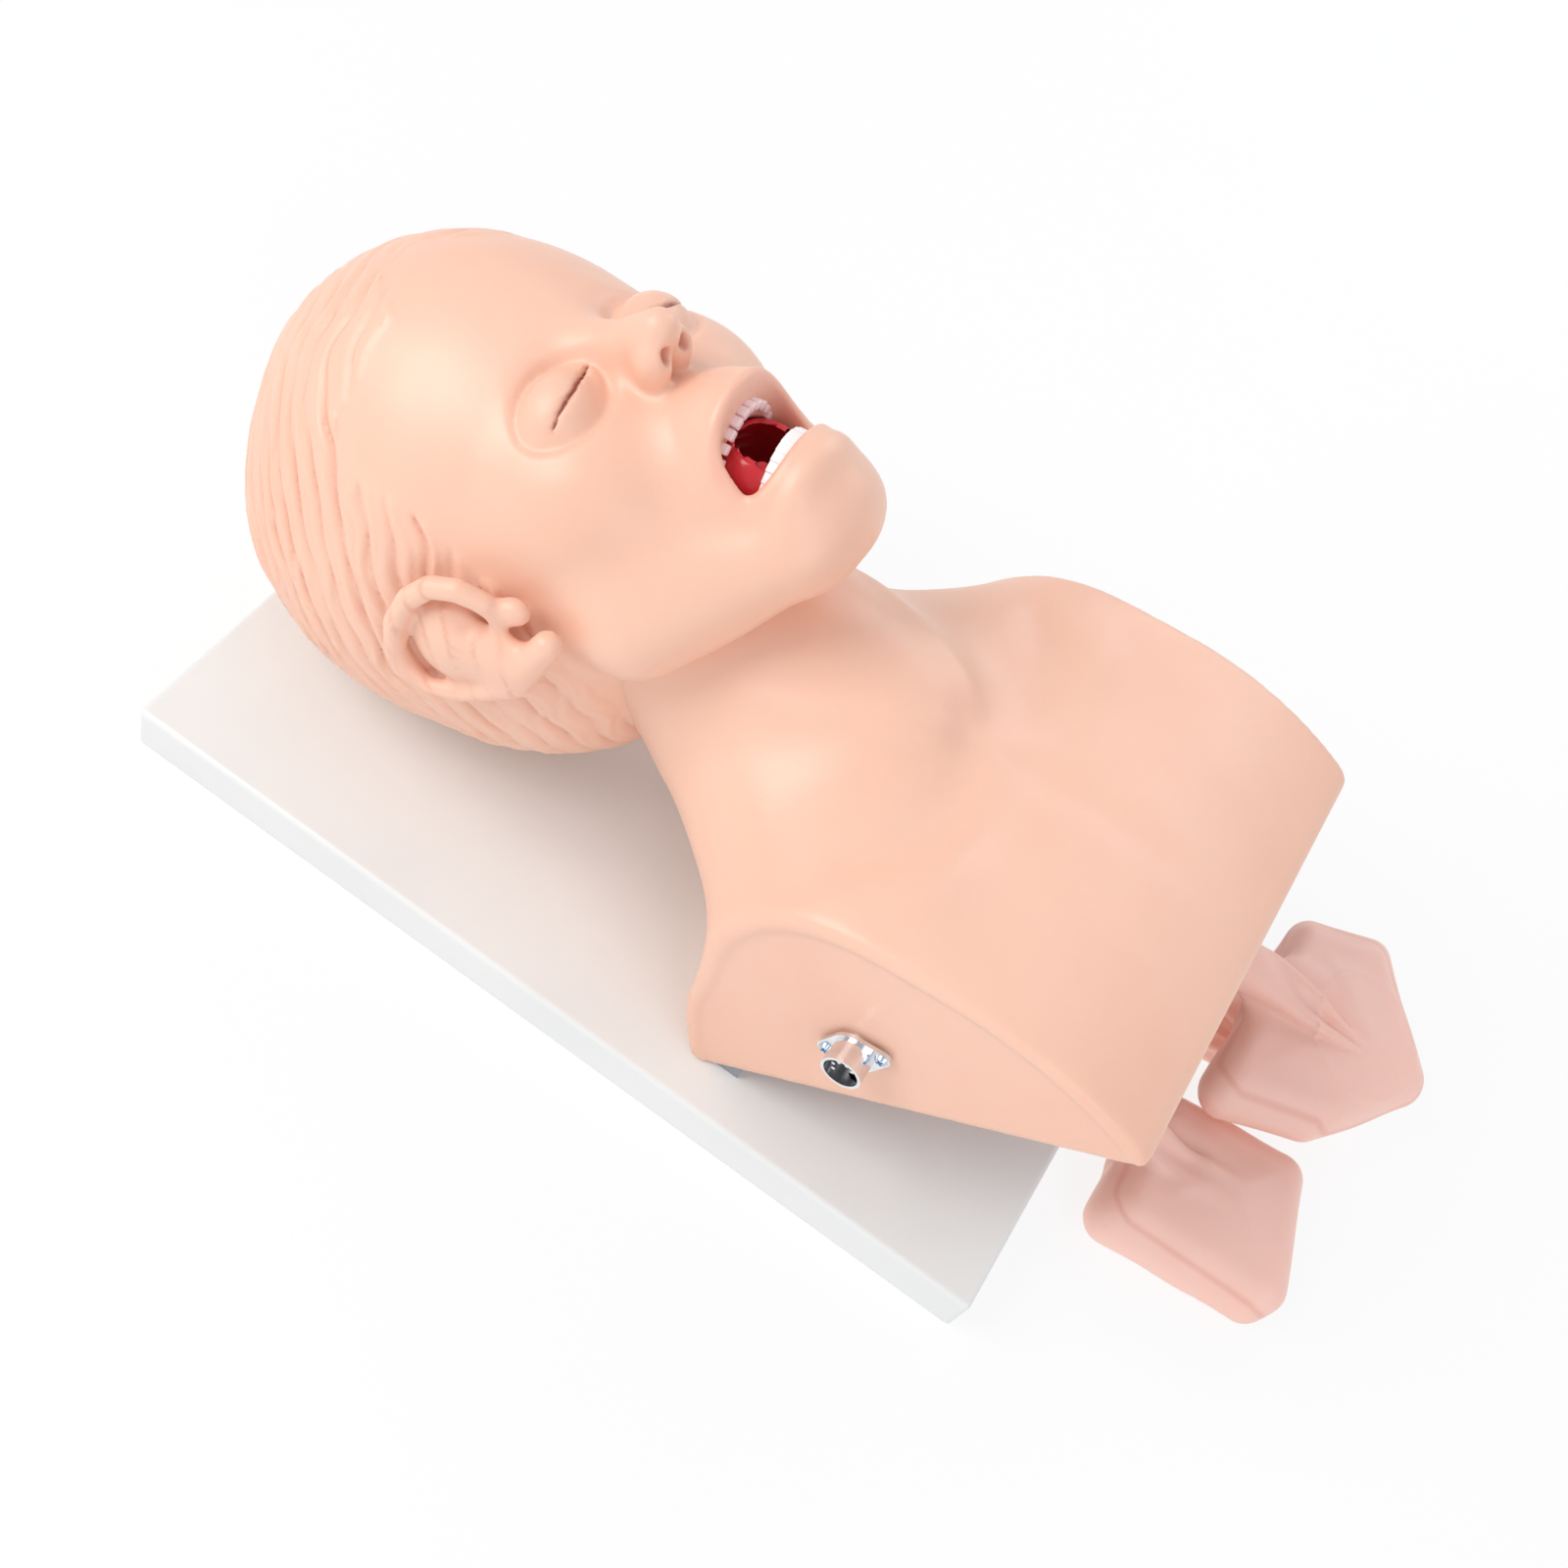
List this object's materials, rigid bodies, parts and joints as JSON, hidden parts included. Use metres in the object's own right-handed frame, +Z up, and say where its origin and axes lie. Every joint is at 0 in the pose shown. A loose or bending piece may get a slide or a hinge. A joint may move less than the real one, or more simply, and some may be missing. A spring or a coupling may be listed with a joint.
{
  "type": "airway management trainer",
  "caption": "Airway management trainer: a soft head and bust on a plastic board, mouth open, with teeth, throat, windpipe, lungs, stomach bag and a panel socket in the shoulder.",
  "frame": {"origin": "centre of the board's underside", "axes": "+X from the crown to the chest along the board's length, +Y to the figure's left, +Z up"},
  "size_m": [0.553, 0.244, 0.2536],
  "materials": {
    "board": "satin",
    "skin": "semi-gloss",
    "bone": "satin",
    "teeth": "gloss",
    "mouth": "semi-gloss",
    "lining": "wet gloss",
    "throat": "satin",
    "lungs": "satin",
    "painted_steel": "satin",
    "steel": "bright",
    "palate": "gloss",
    "black_plastic": "satin",
    "socket_metal": "bright"
  },
  "bodies": {
    "root": {"base_board": "board", "bust_skin": "skin", "epiglottis": "mouth", "larynx": "throat", "trachea": "throat", "bronchi": "throat", "right_lung": "lungs", "left_lung": "lungs", "oesophagus": "throat", "stomach_bag": "lungs", "neck_bracket": "painted_steel", "neck_pin": "steel", "bracket_screws": "steel", "bust_cleats": "painted_steel", "cleat_screws": "steel", "socket_shell": "socket_metal", "socket_insert": "black_plastic", "socket_pins": "steel", "socket_screws": "steel"},
    "head": {"head_skin": "skin", "skull": "bone", "jaw_pins": "steel", "mouth_lining": "lining", "plate_springs": "steel", "bite_switch": "black_plastic"},
    "jaw": {"mandible": "bone", "lower_teeth": "teeth", "tongue": "mouth"},
    "bite_plate": {"teeth_plate": "palate", "upper_teeth": "teeth"}
  },
  "joints": [
    {"name": "neck", "type": "hinge", "parent": "root", "child": "head", "pos_m": [-0.036, 0, 0.112], "axis": [0, 1, 0], "range_deg": [0, 15], "deforming": ["head_skin"]},
    {"name": "jaw_hinge", "type": "hinge", "parent": "head", "child": "jaw", "pos_m": [-0.08044, 0, 0.16013], "axis": [0, -1, 0], "range_deg": [-3, 14], "deforming": ["mouth_lining"]},
    {"name": "bite_plate_slide", "type": "slide", "parent": "head", "child": "bite_plate", "axis": [-0.9792, 0, -0.2028], "range_m": [0, 0.0012], "stiffness_N_per_m": 2000, "springref_m": -0.0005, "deforming": ["plate_springs"]}
  ]
}
